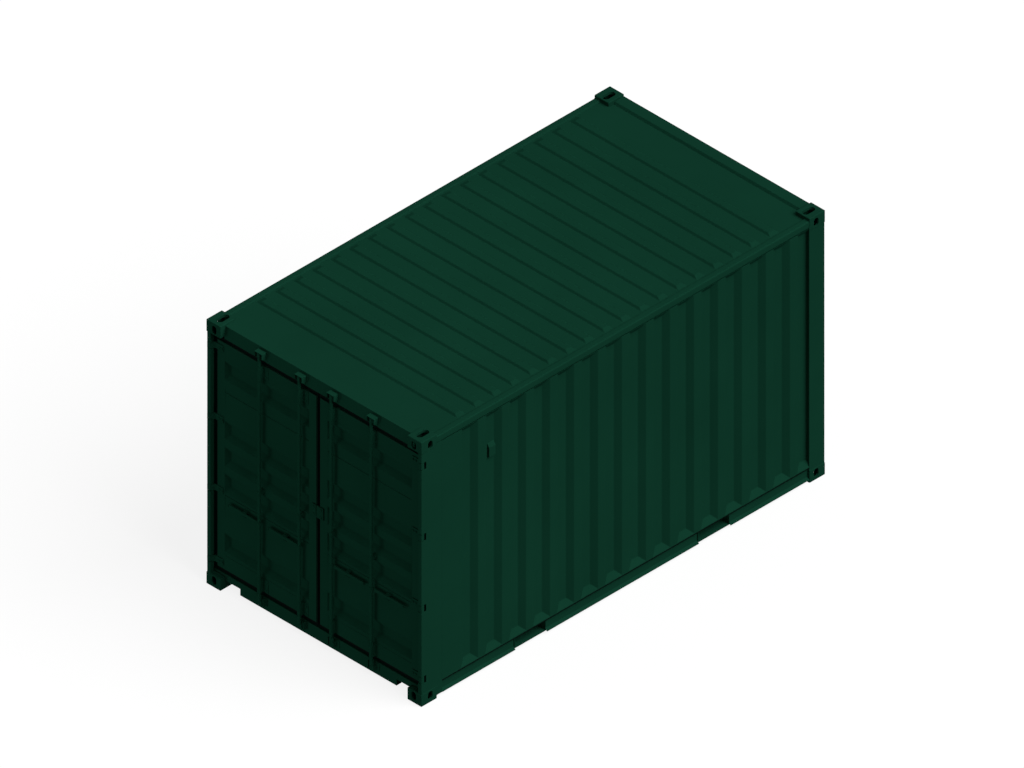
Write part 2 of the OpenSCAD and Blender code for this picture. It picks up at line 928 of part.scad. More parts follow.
// Pressed sheet of a leaf with horizontal troughs and the two seams between its sheets
module door_panel() {
    seam_slope = seam_w / 2 - 1;
    panel_w = leaf_y1 - leaf_y0 - 2 * stile_w;
    troughs = [
        for (z = trough_mids)
            [z - trough_h / 2 - sheet_z0, trough_margin, trough_h, panel_w - 2 * trough_margin,
                trough_slope, trough_ramp, trough_d]
    ];
    seams = [
        for (z = seam_mids)
            [z - seam_w / 2 - sheet_z0, -seam_w, seam_w, panel_w + 2 * seam_w, seam_slope, seam_slope, seam_d]
    ];
    translate([panel_x, leaf_y0 + stile_w, sheet_z0])
        rotate([0, -90, -90])
            pressed_sheet(sheet_z1 - sheet_z0, panel_w, concat(troughs, seams));
}

// Rubber seal round the edges of a leaf
module door_seal() {
    x0 = door_x + door_set + seal_front;
    x1 = door_x + door_set + leaf_t + seal_proud;
    difference() {
        block([x0, leaf_y0 - seal_mid, door_bottom - seal_h],
            [x1, leaf_y1 + seal_side, door_top + seal_h]);
        block([x0 - cut, leaf_y0, door_bottom], [x1 + cut, leaf_y1, door_top]);
    }
}

// Hinge blade on the leaf with a bored knuckle round the pin
module door_hinge() {
    tip_x = door_set - pin_set;
    root_y = leaf_from_side - pin_set - hinge_root;
    tip_y = blade_tip - pin_set;
    heel = knuckle - knuckle_round;
    translate([0, 0, -blade_h / 2])
        linear_extrude(blade_h)
            difference() {
                union() {
                    translate([-knuckle, -heel])
                        round_rect([knuckle_d, heel + knuckle], knuckle_round);
                    polygon([
                        [-heel, -heel],
                        [tip_x - blade_t, -root_y],
                        [tip_x - blade_t, -tip_y],
                        [tip_x, -tip_y],
                        [tip_x, -root_y],
                        [heel, 0],
                        [-heel, 0]
                    ]);
                }
                circle(pin_r + running);
            }
}

module door_hinges() {
    at_hinges()
        door_hinge();
}

// Bearing round a bar with a foot plate, in plan, the foot reaching to one side
module bearing_outline(foot_x, reach) {
    difference() {
        union() {
            circle(bearing_r);
            translate([0, -bearing_r])
                square([foot_x - bar_x, 2 * bearing_r]);
            translate([foot_x - bar_x - bracket_plate, -reach])
                square([bracket_plate, reach + bearing_r + bracket_edge]);
        }
        circle(bar_bore);
    }
}

// U-shaped catch that the handle lies in, open to the front
module handle_catch() {
    mouth = handle_h / 2 + clear;
    x0 = bar_x + clear;
    x1 = panel_x;
    block([x1 - bracket_plate, -catch_foot / 2, -mouth - 2 * catch_t],
        [x1, catch_foot / 2, mouth + 2 * catch_t]);
    for (z = [-mouth - catch_t, mouth])
        block([x0, -catch_w / 2, z], [x1, catch_w / 2, z + catch_t]);
}

// Bar bearings on the rails and the middle of a leaf, and the catches of its handles
module bar_brackets() {
    rail_face = door_x + door_set;
    for (y = [bar_inner, bar_outer]) {
        for (z = [door_bottom + bearing_gap, door_top - door_rail_h + bearing_gap])
            translate([bar_x, y, z])
                linear_extrude(bearing_h)
                    bearing_outline(rail_face, bracket_reach);
        translate([bar_x, y, mid_bearing_z - mid_bearing_h / 2])
            linear_extrude(mid_bearing_h)
                bearing_outline(panel_x, bearing_r + bracket_edge);
        translate([0, y + catch_at, handle_z])
            handle_catch();
    }
}

// Half of the cover over the gap between the leaves
module cover_plate(y0, y1) {
    x1 = door_x + door_set;
    block([x1 - cover_t, y0, cover_z - cover_h / 2], [x1, y1, cover_z + cover_h / 2]);
}

module left_door_frame() { color(paint) door_frame(); }
module left_door_panel() { color(paint) door_panel(); }
module left_door_seal() { color(rubber) door_seal(); }
module left_door_hinges() { color(dark_paint) door_hinges(); }
module left_bar_brackets() { color(dark_paint) bar_brackets(); }
module left_cover_plate() { color(paint) cover_plate(leaf_y0, cover_half); }
module right_door_frame() { color(paint) on_side(-1) door_frame(); }
module right_door_panel() { color(paint) on_side(-1) door_panel(); }
module right_door_seal() { color(rubber) on_side(-1) door_seal(); }
module right_door_hinges() { color(dark_paint) on_side(-1) door_hinges(); }
module right_bar_brackets() { color(dark_paint) on_side(-1) bar_brackets(); }
module right_cover_plate() { color(paint) cover_plate(-cover_half, leaf_y0 - cover_split); }

// Cam with one tooth that points to the hinge side
module cam() {
    linear_extrude(cam_h) {
        circle(bar_r + cam_wall);
        translate([-cam_w / 2, 0])
            square([cam_w, sqrt(cam_reach * cam_reach - cam_w * cam_w / 4)]);
    }
}

// Tubular bar with a cam at each end
module locking_bar(y) {
    color(paint)
        translate([bar_x, y, 0]) {
            translate([0, 0, bar_bottom])
                cam();
            translate([0, 0, bar_top - cam_h])
                cam();
            translate([0, 0, bar_bottom + cam_h])
                linear_extrude(bar_top - bar_bottom - 2 * cam_h)
                    difference() {
                        circle(bar_r);
                        circle(bar_r - bar_wall);
                    }
        }
}

// Flat handle with a collar round the bar, a round tip and an eye for a seal
module bar_handle(y) {
    collar_h = handle_h + 2 * collar_lap;
    lever_x = clear;
    color(dark_paint)
        translate([bar_x, y, handle_z])
            difference() {
                union() {
                    translate([0, 0, -collar_h / 2])
                        cylinder(h = collar_h, r = bearing_r);
                    along_x(lever_x, lever_x + handle_t) {
                        translate([0, -handle_h / 2])
                            square([handle_l - handle_h / 2, handle_h]);
                        translate([handle_l - handle_h / 2, 0])
                            circle(d = handle_h);
                    }
                }
                translate([0, 0, -collar_h / 2 - cut])
                    cylinder(h = collar_h + 2 * cut, r = bar_r + running / 2);
                along_x(lever_x - cut, lever_x + handle_t + cut)
                    translate([handle_l - handle_h / 2, 0])
                        circle(d = handle_eye);
            }
}

module left_outer_bar() { locking_bar(bar_outer); }
module left_outer_handle() { bar_handle(bar_outer); }
module left_inner_bar() { locking_bar(bar_inner); }
module left_inner_handle() { bar_handle(bar_inner); }
module right_inner_bar() { on_side(-1) locking_bar(bar_inner); }
module right_inner_handle() { on_side(-1) bar_handle(bar_inner); }
module right_outer_bar() { on_side(-1) locking_bar(bar_outer); }
module right_outer_handle() { on_side(-1) bar_handle(bar_outer); }

// Front of a header keeper's plate, which leans with the header, at a level
function keeper_x(z) = door_x + header_set(z) - weld - keeper_plate;

// Keeper on the header: a plate that leans with it, and a hood on two cheeks over the bar's end
module top_keeper() {
    z0 = header_low + keeper_lift;
    z1 = keeper_top - keeper_plate;
    front = door_x + hood_set;
    along_y(-keeper_w / 2, keeper_w / 2)
        polygon([
            [keeper_x(z0), z0],
            [keeper_x(z0) + keeper_plate, z0],
            [keeper_x(keeper_top) + keeper_plate, keeper_top],
            [keeper_x(keeper_top), keeper_top]
        ]);
    along_y(-cheek_from - cheek_t, cheek_from + cheek_t)
        polygon([
            [front, z1],
            [keeper_x(z1) - weld, z1],
            [keeper_x(keeper_top) - weld, keeper_top],
            [front, keeper_top]
        ]);
    for (side = [-1, 1])
        on_side(side)
            along_y(cheek_from, cheek_from + cheek_t)
                polygon([
                    [keeper_x(z0) - weld, z0],
                    [keeper_x(z1) - weld, z1 - weld],
                    [front, z1 - weld],
                    [front, keeper_top - hood_h]
                ]);
}

// Keeper on the sill: a plate, a stop below the bar and a cheek beside it
module bottom_keeper() {
    x1 = door_x + sill_set;
    x0 = x1 - plate;
    z1 = sill_top - plate;
    z0 = z1 - keeper_h;
    stop_top = bar_bottom - stop_gap;
    block([x0, -keeper_w / 2, z0], [x1, keeper_w / 2, z1]);
    block([bar_x, -stop_w / 2, z0], [x0, stop_w / 2, stop_top]);
    block([bar_x, -cheek_from - cheek_t, z0], [x0, -cheek_from, z1]);
}

module at_bars() {
    for (side = [1, -1])
        on_side(side)
            for (y = [bar_inner, bar_outer])
                translate([0, y, 0])
                    children();
}

module top_keepers() { color(dark_paint) at_bars() top_keeper(); }
module bottom_keepers() { color(dark_paint) at_bars() bottom_keeper(); }

bottom_corner_castings();
top_corner_castings();
left_door_post();
right_door_post();
left_door_jamb();
right_door_jamb();
hinge_pins();
left_front_post();
right_front_post();
door_header();
door_sill();
front_header();
front_sill();
left_top_rail();
right_top_rail();
left_bottom_rail();
right_bottom_rail();
left_side_wall();
right_side_wall();
front_wall();
roof_panel();
roof_gussets();
cross_members();
fork_pockets();
floor_boards();
ventilators();
top_keepers();
bottom_keepers();
left_door_frame();
left_door_panel();
left_door_seal();
left_door_hinges();
left_bar_brackets();
left_cover_plate();
right_door_frame();
right_door_panel();
right_door_seal();
right_door_hinges();
right_bar_brackets();
right_cover_plate();
left_outer_bar();
left_outer_handle();
left_inner_bar();
left_inner_handle();
right_inner_bar();
right_inner_handle();
right_outer_bar();
right_outer_handle();
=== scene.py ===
# Dresses the steel shipping container: bent sheets, welds, bolts, seals, paint, light and camera
import json
import math

import bmesh
import bpy
from mathutils import Matrix, Vector


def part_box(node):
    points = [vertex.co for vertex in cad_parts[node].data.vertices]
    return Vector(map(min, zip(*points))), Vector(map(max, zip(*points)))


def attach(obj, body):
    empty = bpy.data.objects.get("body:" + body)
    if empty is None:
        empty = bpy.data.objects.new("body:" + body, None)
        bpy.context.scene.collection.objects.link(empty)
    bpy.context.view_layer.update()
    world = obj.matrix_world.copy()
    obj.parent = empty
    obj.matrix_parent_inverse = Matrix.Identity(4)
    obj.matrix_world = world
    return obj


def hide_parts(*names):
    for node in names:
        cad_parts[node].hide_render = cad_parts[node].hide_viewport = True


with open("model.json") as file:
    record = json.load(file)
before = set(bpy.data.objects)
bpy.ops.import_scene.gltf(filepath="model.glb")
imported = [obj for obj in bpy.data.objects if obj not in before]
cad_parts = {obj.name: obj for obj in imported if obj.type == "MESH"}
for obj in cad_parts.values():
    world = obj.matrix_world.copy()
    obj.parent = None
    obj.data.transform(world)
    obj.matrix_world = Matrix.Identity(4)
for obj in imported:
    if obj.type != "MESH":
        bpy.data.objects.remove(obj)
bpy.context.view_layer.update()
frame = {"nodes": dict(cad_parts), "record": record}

MM = 0.001
SLOT_OF = {part["node"]: part["material_slot"] for part in frame["record"]["subparts"]}
BODIES = frame["record"]["behaviour"]["bodies"]
BODY_OF = {node: body for body, nodes in BODIES.items() for node in nodes}

# View of the photograph: parallel, along the diagonal of a cube
VIEW_WIDTH = 8.197
VIEW_RIGHT = -0.0294
VIEW_UP = 1.1585
VIEW_DISTANCE = 20.0

# Light, as shares of a written colour. The door light comes from the front left and a little from below
SKY_LEVEL = 0.22
SUN_LEVEL = 1.015
SUN_FROM = (0.205, -0.628, 0.751)
SUN_SOFTNESS = math.radians(50)
DOOR_LEVEL = 0.20
DOOR_FROM = (-0.80, 0.52, -0.30)
DOOR_SOFTNESS = math.radians(25)
FLOOR_SIZE = 90.0
FLOOR_GLOW = 0.855
FLOOR_TONE = 0.16

# Paint and other colours, linear
GREEN = (0.0048, 0.0377, 0.0214)
UNDER_GREEN = (0.0012, 0.0105, 0.0065)
RUBBER_BLACK = (0.0008, 0.0028, 0.0022)
STEEL_GREY = (0.42, 0.42, 0.43)
PLY_DARK = (0.125, 0.058, 0.024)
PLY_LIGHT = (0.285, 0.155, 0.070)
PAINT_SHEEN = 0.0

# The middle of a noise, which holds most of its values
ROUGHNESS_NOISE = (0.3, 0.7)
TINT_NOISE = (0.32, 0.68)

# Sheet metal and plate edges
SKIN = 2 * MM
WALL_BEND = 8 * MM
ROOF_BEND = 4 * MM
DOOR_BEND = 7 * MM
BEND_SEGMENTS = 3
SHEET_BEND_FROM = math.radians(12)
OUTWARD_SHARE = 0.15
CORRUGATION_END = 40 * MM
TROUGH_END = 6 * MM
SEAM_DEPTH = (3 * MM, 8 * MM)
SEAM_MARGIN = 14 * MM
PLATE_EDGE = 1.6 * MM
RAIL_EDGE = 10 * MM
CASTING_EDGE = 7 * MM
HOLE_EDGE = 2.5 * MM
FORGED_EDGE = 2.2 * MM
FLAT = math.radians(0.4)
SMOOTH_BELOW = math.radians(31)
SAME_PLACE = 0.1 * MM
MERGE_WITHIN = 0.02 * MM
PLATE_SLOTS = ("body_paint", "under_paint", "floor_wood", "pin_steel")
FITTING_SLOTS = ("fitting_paint", "bar_paint")

# Plates with openings in their faces. A whole face would close the opening
OPEN_FACED = ("door_frame", "door_jamb", "door_header", "bar_brackets", "front_post")

# Door seals: the groove between their lips, and the outer lip
SEAL_LIP = 11 * MM
SEAL_GROOVE = 6 * MM
SEAL_RIM = 1 * MM
SEAL_EDGE = 1.8 * MM
LIP_WIDTH = 5 * MM
LIP_PROUD = 1 * MM
LIP_EDGE = 0.4 * MM

# Corner castings, from their outer corner
CASTING_LENGTH = 178 * MM
CASTING_WIDTH = 162 * MM
CASTING_WALL = 20 * MM
CASTING_PLATE = 28 * MM
CASTING_BACK = 10 * MM
SLOT_SIZE = (124 * MM, 63.5 * MM)
HOLE_SIZE = (79 * MM, 51 * MM)
SLOT_FROM_END = 101.5 * MM
SLOT_FROM_SIDE = 89 * MM
HOLE_SIDES = 30

# Bolts and rivets on the door's plates
HINGE_COUNT = 4
HINGE_HALF_HEIGHT = 29 * MM
HINGE_BLADE = 8 * MM
HINGE_BOLTS_FROM_SIDE = (106 * MM, 136 * MM)
BEARING_PLATE = 5 * MM
BEARING_FROM_END = 70 * MM
BEARING_BOLT_ASIDE = 48 * MM
BEARING_BOLT_RISE = 35 * MM
CATCH_PLATE = 5 * MM
CATCH_ASIDE = 174 * MM
CATCH_RIVET_ASIDE = 25 * MM
CATCH_RIVET_RISE = 20 * MM
COVER_BOLT_ASIDE = 42 * MM
COVER_BOLT_RISE = 36 * MM
BOLT_ACROSS = 17 * MM
BOLT_HEAD = 5 * MM
BOLT_WASHER = 1.5 * MM
WASHER_RADIUS = 0.66 * BOLT_ACROSS
BOLT_EDGE = 0.5 * MM
RIVET_RADIUS = 4.5 * MM
RIVET_HEIGHT = 3 * MM

# Locking bars, from the edge of their cams to their axis, and the rings on them
BAR_AXIS_INSET = 16 * MM
RING_RADIUS = 14.1 * MM
RING_WALL = 2.3 * MM
RING_HEIGHT = 12 * MM
RING_EDGE = 0.8 * MM
RING_FROM_END = 136 * MM

# Weld runs: radii, then the lengths by which they stop short, run on or lie under a face
PLATE_WELD = 3.2 * MM
ROOF_WELD = 5.0 * MM
DOOR_POST_WELD = 1.8 * MM
FRONT_POST_WELD = 4.0 * MM
FRONT_WALL_WELD = 3.0 * MM
WELD_SIDES = 12
SHORT_OF_DOOR_EDGE = 10 * MM
SHORT_OF_FRONT_EDGE = 8 * MM
SHORT_OF_RAIL_EDGE = 4 * MM
SHORT_OF_HEADER_FACE = 20 * MM
WELD_OVERRUN = 8 * MM
WELD_SUNK = 1 * MM

# Sealant strip under the side walls. Its black is painted shade, the shadow line of the gap under each wall's
# lower edge
DARK_STRIP_HALF = 1.4 * MM
DARK_STRIP_BELOW = 7 * MM
DARK_STRIP_ABOVE = 3 * MM
DARK_STRIP_EDGE = 1.2 * MM

# Floor screws: from the edge of a cross member, and as shares of the floor's width
SCREW_FROM_EDGE = 24 * MM
SCREW_SHARES = (0.04, 0.19, 0.345, 0.5, 0.655, 0.81, 0.96)
SCREW_RADIUS = 6 * MM
SCREW_PROUD = 0.6 * MM
SCREW_SUNK = 1 * MM


def deselect():
    bpy.ops.object.select_all(action="DESELECT")


def activate(piece):
    deselect()
    piece.select_set(True)
    bpy.context.view_layer.objects.active = piece


def edit(piece):
    activate(piece)
    bpy.ops.object.mode_set(mode="EDIT")
    bpy.ops.mesh.select_all(action="DESELECT")


def leave_edit():
    bpy.ops.object.mode_set(mode="OBJECT")


def select_faces(piece, test):
    """Selects the faces, in edit mode, whose centre and normal pass the test."""
    bpy.ops.mesh.select_mode(type="FACE")
    mesh = bmesh.from_edit_mesh(piece.data)
    for face in mesh.faces:
        face.select_set(bool(test(face.calc_center_median(), face.normal)))
    mesh.select_flush_mode()
    bmesh.update_edit_mesh(piece.data)


def select_bends(piece, kept_sharp):
    """Selects the edges, in edit mode, that a sheet is bent along."""
    bpy.ops.mesh.select_mode(type="EDGE")
    mesh = bmesh.from_edit_mesh(piece.data)
    for edge in mesh.edges:
        middle = (edge.verts[0].co + edge.verts[1].co) / 2
        bent = edge.is_manifold and edge.calc_face_angle() > SHEET_BEND_FROM
        edge.select_set(bent and not kept_sharp(middle))
    bmesh.update_edit_mesh(piece.data)


def select_points(piece, test):
    """Selects the points, in edit mode, whose places pass the test, and what lies between them."""
    bpy.ops.mesh.select_mode(type="VERT")
    mesh = bmesh.from_edit_mesh(piece.data)
    for point in mesh.verts:
        point.select_set(bool(test(point.co)))
    mesh.select_flush_mode()
    bmesh.update_edit_mesh(piece.data)


def modify(piece, kind, **settings):
    """Adds a modifier with its settings and applies it."""
    activate(piece)
    modifier = piece.modifiers.new(kind.title(), kind)
    for name, value in settings.items():
        setattr(modifier, name, value)
    bpy.ops.object.modifier_apply(modifier=modifier.name)


def round_edges(piece, width, segments=2, sharper_than=30):
    modify(piece, "BEVEL", width=width, segments=segments, limit_method="ANGLE",
           angle_limit=math.radians(sharper_than), use_clamp_overlap=True, miter_outer="MITER_ARC")


def shade(piece):
    """Smooth over bends and rounded edges, flat on the large faces."""
    activate(piece)
    bpy.ops.object.shade_smooth_by_angle(angle=SMOOTH_BELOW)
    modify(piece, "WEIGHTED_NORMAL", mode="FACE_AREA", weight=50, keep_sharp=True)


def copy_of(node, whole_faces=True):
    """A copy of a CAD node's mesh, its triangles joined to whole faces or to four-sided ones."""
    piece = bpy.data.objects.new(node + "_dressed", frame["nodes"][node].data.copy())
    bpy.context.scene.collection.objects.link(piece)
    activate(piece)
    bpy.ops.mesh.customdata_custom_splitnormals_clear()
    edit(piece)
    bpy.ops.mesh.select_all(action="SELECT")
    bpy.ops.mesh.remove_doubles(threshold=MERGE_WITHIN)
    if whole_faces:
        bpy.ops.mesh.dissolve_limited(angle_limit=FLAT)
    else:
        bpy.ops.mesh.tris_convert_to_quads(face_threshold=FLAT, shape_threshold=math.pi)
    leave_edit()
    return piece


def settled(name):
    """Names the shape that was just added and moves its place into its mesh."""
    piece = bpy.context.object
    piece.name = name
    activate(piece)
    bpy.ops.object.transform_apply(location=True, rotation=True, scale=True)
    return piece


def block(name, low, high):
    low, high = Vector(low), Vector(high)
    bpy.ops.mesh.primitive_cube_add(size=1, location=(low + high) / 2)
    bpy.context.object.scale = high - low
    return settled(name)


def rod(name, start, end, radius, sides=10):
    start, end = Vector(start), Vector(end)
    bpy.ops.mesh.primitive_cylinder_add(vertices=sides, radius=radius, depth=(end - start).length,
                                        location=(start + end) / 2,
                                        rotation=(end - start).to_track_quat("Z", "Y").to_euler())
    return settled(name)


def join(pieces, name):
    activate(pieces[0])
    for piece in pieces:
        piece.select_set(True)
    bpy.ops.object.join()
    return settled(name)


def copies_at(pattern, spots, name):
    """One piece of copies of a small pattern, which is removed."""
    copies = []
    for spot in spots:
        piece = bpy.data.objects.new(name, pattern.data.copy())
        bpy.context.scene.collection.objects.link(piece)
        piece.location = spot
        copies.append(piece)
    bpy.data.objects.remove(pattern)
    return join(copies, name)


def cut_out(piece, cutter):
    modify(piece, "BOOLEAN", operation="DIFFERENCE", solver="EXACT", object=cutter)
    bpy.data.objects.remove(cutter)


def coat(piece, slot):
    piece.data.materials.clear()
    piece.data.materials.append(FINISHES[slot])


def hang(piece, slot, body):
    """Gives a new piece its finish and the body that it moves with."""
    coat(piece, slot)
    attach(piece, body)


def stand_for(piece, node):
    hang(piece, SLOT_OF[node], BODY_OF[node])
    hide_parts(node)


# Finishes

def new_finish(name, roughness, specular, metallic=0.0):
    material = bpy.data.materials.new(name)
    material.use_nodes = True
    surface = material.node_tree.nodes["Principled BSDF"]
    surface.inputs["Roughness"].default_value = roughness
    surface.inputs["Specular IOR Level"].default_value = specular
    surface.inputs["Metallic"].default_value = metallic
    return material


def noise(tree, scale, detail=3.0, stretch=(1, 1, 1)):
    """Noise on Object coordinates: cells per metre, stretched by a scale for each axis."""
    coords = tree.nodes.new("ShaderNodeTexCoord")
    mapping = tree.nodes.new("ShaderNodeMapping")
    mapping.inputs["Scale"].default_value = stretch
    texture = tree.nodes.new("ShaderNodeTexNoise")
    texture.inputs["Scale"].default_value = scale
    texture.inputs["Detail"].default_value = detail
    tree.links.new(coords.outputs["Object"], mapping.inputs["Vector"])
    tree.links.new(mapping.outputs["Vector"], texture.inputs["Vector"])
    return texture.outputs["Fac"]


def spread(tree, value, low, high):
    """Maps the middle of a noise to the span from low to high."""
    node = tree.nodes.new("ShaderNodeMapRange")
    node.inputs["From Min"].default_value = ROUGHNESS_NOISE[0]
    node.inputs["From Max"].default_value = ROUGHNESS_NOISE[1]
    node.inputs["To Min"].default_value = low
    node.inputs["To Max"].default_value = high
    tree.links.new(value, node.inputs["Value"])
    return node.outputs["Result"]


def tint(tree, value, dark, light):
    """A colour between two tones, picked by a noise."""
    ramp = tree.nodes.new("ShaderNodeValToRGB")
    first, last = ramp.color_ramp.elements
    first.position, last.position = TINT_NOISE
    first.color, last.color = (*dark, 1), (*light, 1)
    tree.links.new(value, ramp.inputs["Fac"])
    return ramp.outputs["Color"]


def relief(tree, surface, layers):
    """Stacks bumps, each a noise with its height in metres."""
    under = None
    for value, height in layers:
        bump = tree.nodes.new("ShaderNodeBump")
        bump.inputs["Strength"].default_value = 1.0
        bump.inputs["Distance"].default_value = height
        tree.links.new(value, bump.inputs["Height"])
        if under is not None:
            tree.links.new(under, bump.inputs["Normal"])
        under = bump.outputs["Normal"]
    tree.links.new(under, surface.inputs["Normal"])


def scaled(color, share):
    return tuple(channel * share for channel in color)


def paint(name, color, grain, grain_height, sway_height=0.0):
    """Paint without sheen: faint patches, a fine grain and, on sheet, a slow sway."""
    material = new_finish(name, roughness=0.6, specular=PAINT_SHEEN)
    tree = material.node_tree
    surface = tree.nodes["Principled BSDF"]
    patches = tint(tree, noise(tree, 1.3, detail=5.0), scaled(color, 0.95), scaled(color, 1.05))
    tree.links.new(patches, surface.inputs["Base Color"])
    tree.links.new(spread(tree, noise(tree, 7.0), 0.54, 0.66), surface.inputs["Roughness"])
    layers = [(noise(tree, grain, detail=2.0), grain_height)]
    if sway_height:
        layers.insert(0, (noise(tree, 2.2, detail=1.0), sway_height))
    relief(tree, surface, layers)
    return material


def bare_steel(name):
    material = new_finish(name, roughness=0.4, specular=0.5, metallic=1.0)
    tree = material.node_tree
    surface = tree.nodes["Principled BSDF"]
    scratches = noise(tree, 260.0, detail=4.0, stretch=(1, 1, 0.06))
    tree.links.new(tint(tree, scratches, scaled(STEEL_GREY, 0.8), STEEL_GREY), surface.inputs["Base Color"])
    tree.links.new(spread(tree, scratches, 0.32, 0.5), surface.inputs["Roughness"])
    relief(tree, surface, [(scratches, 0.05 * MM)])
    return material


def rubber(name):
    material = new_finish(name, roughness=0.78, specular=0.01)
    tree = material.node_tree
    surface = tree.nodes["Principled BSDF"]
    bloom = noise(tree, 24.0, detail=4.0)
    tree.links.new(tint(tree, bloom, scaled(RUBBER_BLACK, 0.7), scaled(RUBBER_BLACK, 1.3)),
                   surface.inputs["Base Color"])
    tree.links.new(spread(tree, bloom, 0.7, 0.85), surface.inputs["Roughness"])
    relief(tree, surface, [(noise(tree, 700.0), 0.08 * MM)])
    return material


def plywood(name):
    """Oiled hardwood plywood with its grain along the container."""
    material = new_finish(name, roughness=0.55, specular=0.3)
    tree = material.node_tree
    surface = tree.nodes["Principled BSDF"]
    grain = noise(tree, 42.0, detail=7.0, stretch=(0.05, 1, 1))
    tree.links.new(tint(tree, grain, PLY_DARK, PLY_LIGHT), surface.inputs["Base Color"])
    tree.links.new(spread(tree, noise(tree, 5.0), 0.45, 0.65), surface.inputs["Roughness"])
    relief(tree, surface, [(grain, 0.5 * MM), (noise(tree, 160.0, stretch=(0.1, 1, 1)), 0.2 * MM)])
    return material


FINISHES = {
    "body_paint": paint("plate_paint", GREEN, 420.0, 0.06 * MM, 0.4 * MM),
    "wall_sheet": paint("sheet_paint", GREEN, 420.0, 0.06 * MM, 1.2 * MM),
    "casting": paint("casting_paint", scaled(GREEN, 0.97), 170.0, 0.25 * MM),
    "fitting_paint": paint("fitting_paint", scaled(GREEN, 0.98), 260.0, 0.12 * MM),
    "bar_paint": paint("bar_paint", scaled(GREEN, 1.03), 420.0, 0.06 * MM),
    "under_paint": paint("under_coating", UNDER_GREEN, 130.0, 0.4 * MM),
    "pin_steel": bare_steel("pin_steel"),
    "seal_rubber": rubber("seal_rubber"),
    "floor_wood": plywood("floor_plywood"),
}


# Stage, light and camera

def add_camera():
    back = Vector((-1, -1, 1)).normalized()
    right = Vector((1, -1, 0)).normalized()
    up = back.cross(right)
    place = right * VIEW_RIGHT + up * VIEW_UP + back * VIEW_DISTANCE
    turn = Matrix((right, up, back)).transposed().to_euler()
    bpy.ops.object.camera_add(location=place, rotation=turn)
    camera = bpy.context.object
    camera.data.type = "ORTHO"
    camera.data.ortho_scale = VIEW_WIDTH
    camera.data.clip_end = 10 * VIEW_DISTANCE
    bpy.context.scene.camera = camera


def add_sun(name, level, source, softness):
    bpy.ops.object.light_add(type="SUN", rotation=Vector(source).to_track_quat("Z", "Y").to_euler())
    lamp = bpy.context.object
    lamp.name = name
    lamp.data.energy = level * math.pi
    lamp.data.angle = softness


def seen_directly(tree):
    """1 for rays from the camera, from a reflection or through glass, and 0 for the rest."""
    path = tree.nodes.new("ShaderNodeLightPath")
    total = path.outputs["Is Camera Ray"]
    for output in ("Is Glossy Ray", "Is Transmission Ray"):
        most = tree.nodes.new("ShaderNodeMath")
        most.operation = "MAXIMUM"
        tree.links.new(total, most.inputs[0])
        tree.links.new(path.outputs[output], most.inputs[1])
        total = most.outputs[0]
    return total


def add_sky():
    world = bpy.data.worlds.new("studio_sky")
    bpy.context.scene.world = world
    world.use_nodes = True
    tree = world.node_tree
    light = tree.nodes["Background"]
    light.inputs["Color"].default_value = (1, 1, 1, 1)
    light.inputs["Strength"].default_value = SKY_LEVEL
    backdrop = tree.nodes.new("ShaderNodeBackground")
    backdrop.inputs["Color"].default_value = (1, 1, 1, 1)
    mix = tree.nodes.new("ShaderNodeMixShader")
    tree.links.new(seen_directly(tree), mix.inputs["Fac"])
    tree.links.new(light.outputs[0], mix.inputs[1])
    tree.links.new(backdrop.outputs[0], mix.inputs[2])
    tree.links.new(mix.outputs[0], tree.nodes["World Output"].inputs["Surface"])


def add_floor():
    bpy.ops.mesh.primitive_plane_add(size=FLOOR_SIZE, location=(0, 0, 0))
    floor = bpy.context.object
    floor.name = "studio_floor"
    # It lets the door light through from below, and its glow doesn't light the container
    floor.visible_shadow = False
    floor.visible_diffuse = False
    material = bpy.data.materials.new("floor_white")
    material.use_nodes = True
    tree = material.node_tree
    tree.nodes.remove(tree.nodes["Principled BSDF"])
    pale = tree.nodes.new("ShaderNodeBsdfDiffuse")
    pale.inputs["Color"].default_value = (FLOOR_TONE,) * 3 + (1,)
    glow = tree.nodes.new("ShaderNodeEmission")
    glow.inputs["Strength"].default_value = FLOOR_GLOW
    shown = tree.nodes.new("ShaderNodeAddShader")
    tree.links.new(pale.outputs[0], shown.inputs[0])
    tree.links.new(glow.outputs[0], shown.inputs[1])
    tree.links.new(shown.outputs[0], tree.nodes["Material Output"].inputs["Surface"])
    floor.data.materials.append(material)


# Sheets and plates

def bent_sheet(node, outward, bend, whole_faces=True, kept_sharp=lambda spot: False):
    """A pressed sheet with real bend radii, from the outer face of its solid."""
    piece = copy_of(node, whole_faces)
    direction = Vector(outward)
    edit(piece)
    select_faces(piece, lambda centre, normal: normal.dot(direction) < OUTWARD_SHARE)
    bpy.ops.mesh.delete(type="FACE")
    select_bends(piece, kept_sharp)
    bpy.ops.mesh.bevel(offset=bend, segments=BEND_SEGMENTS, affect="EDGES", clamp_overlap=True)
    leave_edit()
    modify(piece, "SOLIDIFY", thickness=SKIN, offset=-1.0)
    shade(piece)
    stand_for(piece, node)


def corrugated_wall(node, outward):
    """A wall sheet. The upper ends of its corrugations, at the sheet's edge, keep their sharp edges."""
    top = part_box(node)[1].z
    bent_sheet(node, outward, WALL_BEND, kept_sharp=lambda spot: spot.z > top - CORRUGATION_END)


